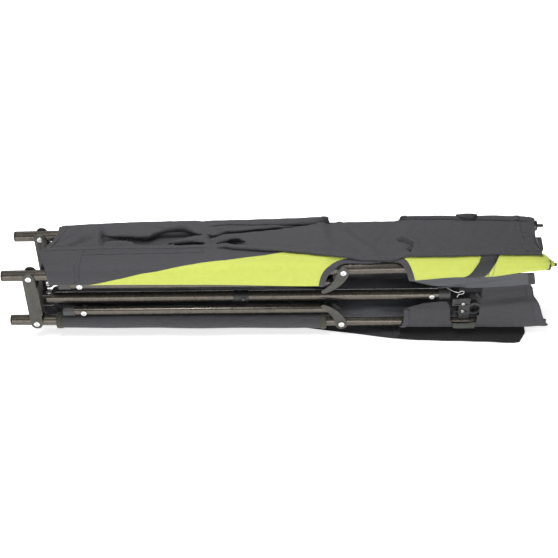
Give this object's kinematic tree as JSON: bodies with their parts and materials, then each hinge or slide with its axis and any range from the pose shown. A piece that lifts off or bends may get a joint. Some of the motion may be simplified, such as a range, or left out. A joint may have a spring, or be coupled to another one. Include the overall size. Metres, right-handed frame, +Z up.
{
  "type": "camping cot",
  "caption": "Folding camping cot closed into a long bundle: side rails on two hubs, swinging centre legs, end legs on curved brackets, and bed fabric folded between the rails.",
  "frame": {"origin": "under the middle of the folded bundle, on the surface that it lies on", "axes": "+X along the rails from the hubs to their free ends, +Y from the near frame to the far frame, +Z up from the lower rails to the upper rails"},
  "size_m": [0.992, 0.174, 0.1746],
  "materials": {
    "bronze_tube": "dark bronze grey coat, satin",
    "bronze_plate": "dark olive grey coat on stamped sheet, satin",
    "rivet_steel": "bright plated",
    "black_plastic": "moulded, half matt",
    "grey_plastic": "moulded, half matt",
    "grey_fabric": "dark grey coated polyester, plain weave",
    "lime_fabric": "lime green polyester, plain weave",
    "black_fabric": "black polyester, plain weave",
    "webbing": "black woven webbing"
  },
  "bodies": {
    "near_hub": {"near_hub_outer_plate": "bronze_plate", "near_hub_inner_plate": "bronze_plate", "near_upper_hub_rivet": "rivet_steel", "near_lower_hub_rivet": "rivet_steel", "near_hub_bracket": "bronze_plate", "near_centre_leg_pin": "rivet_steel"},
    "far_hub": {"far_hub_outer_plate": "bronze_plate", "far_hub_inner_plate": "bronze_plate", "far_upper_hub_rivet": "rivet_steel", "far_lower_hub_rivet": "rivet_steel", "far_hub_bracket": "bronze_plate", "far_centre_leg_pin": "rivet_steel"},
    "near_centre_leg": {"near_centre_leg": "bronze_tube", "near_centre_leg_collar": "black_plastic", "near_centre_leg_foot": "grey_plastic"},
    "far_centre_leg": {"far_centre_leg": "bronze_tube", "far_centre_leg_collar": "black_plastic", "far_centre_leg_foot": "grey_plastic"},
    "near_upper_rail": {"near_upper_rail": "bronze_tube", "near_upper_stub_plug": "black_plastic", "near_upper_end_spigot": "black_plastic", "near_upper_leg_rivet": "rivet_steel", "near_upper_leg_bracket": "bronze_plate", "near_upper_leg": "bronze_tube", "near_upper_foot_rivet": "rivet_steel", "near_upper_foot": "grey_plastic", "near_upper_sleeve": "lime_fabric", "upper_bed_fabric": "grey_fabric", "cross_strap": "webbing", "end_tab": "webbing"},
    "near_lower_rail": {"near_lower_rail": "bronze_tube", "near_lower_stub_plug": "black_plastic", "near_lower_end_spigot": "black_plastic", "near_lower_leg_rivet": "rivet_steel", "near_lower_leg_bracket": "bronze_plate", "near_lower_leg": "bronze_tube", "near_lower_foot_rivet": "rivet_steel", "near_lower_foot": "grey_plastic", "near_lower_sleeve": "grey_fabric", "lower_bed_fabric": "grey_fabric", "black_panel": "black_fabric", "foot_clip": "black_plastic"},
    "far_upper_rail": {"far_upper_rail": "bronze_tube", "far_upper_stub_plug": "black_plastic", "far_upper_end_spigot": "black_plastic", "far_upper_leg_rivet": "rivet_steel", "far_upper_leg_bracket": "bronze_plate", "far_upper_leg": "bronze_tube", "far_upper_foot_rivet": "rivet_steel", "far_upper_foot": "grey_plastic", "far_upper_sleeve": "grey_fabric"},
    "far_lower_rail": {"far_lower_rail": "bronze_tube", "far_lower_stub_plug": "black_plastic", "far_lower_end_spigot": "black_plastic", "far_lower_leg_rivet": "rivet_steel", "far_lower_leg_bracket": "bronze_plate", "far_lower_leg": "bronze_tube", "far_lower_foot_rivet": "rivet_steel", "far_lower_foot": "grey_plastic", "far_lower_sleeve": "grey_fabric"}
  },
  "joints": [
    {"name": "width_spread", "type": "slide", "parent": "near_hub", "child": "far_hub", "axis": [0, 1, 0], "range_m": [0, 0.5]},
    {"name": "upper_fold", "type": "hinge", "parent": "near_hub", "child": "near_upper_rail", "pos_m": [-0.44634, -0.048, 0.142], "axis": [0, -1, 0], "range_deg": [0, 89.2]},
    {"name": "lower_fold", "type": "hinge", "parent": "near_hub", "child": "near_lower_rail", "pos_m": [-0.44634, -0.048, 0.038], "axis": [0, 1, 0], "range_deg": [0, 89.2]},
    {"name": "near_centre_leg_swing", "type": "hinge", "parent": "near_hub", "child": "near_centre_leg", "pos_m": [-0.42134, -0.032, 0.078], "axis": [0, 0, 1], "range_deg": [0, 53.5]},
    {"name": "far_centre_leg_swing", "type": "hinge", "parent": "far_hub", "child": "far_centre_leg", "pos_m": [-0.42134, 0.056, 0.102], "axis": [0, 0, -1], "range_deg": [0, 53.5]},
    {"name": "far_upper_rail_slide", "type": "slide", "parent": "near_upper_rail", "child": "far_upper_rail", "axis": [0, 1, 0], "range_m": [0, 0.5]},
    {"name": "far_lower_rail_slide", "type": "slide", "parent": "near_lower_rail", "child": "far_lower_rail", "axis": [0, 1, 0], "range_m": [0, 0.5]}
  ],
  "couplings": [
    {"joint": "near_centre_leg_swing", "follows": "width_spread", "rad_per_m": 1.86},
    {"joint": "far_centre_leg_swing", "follows": "width_spread", "rad_per_m": 1.86},
    {"joint": "far_upper_rail_slide", "follows": "width_spread", "ratio": 1},
    {"joint": "far_lower_rail_slide", "follows": "width_spread", "ratio": 1}
  ]
}
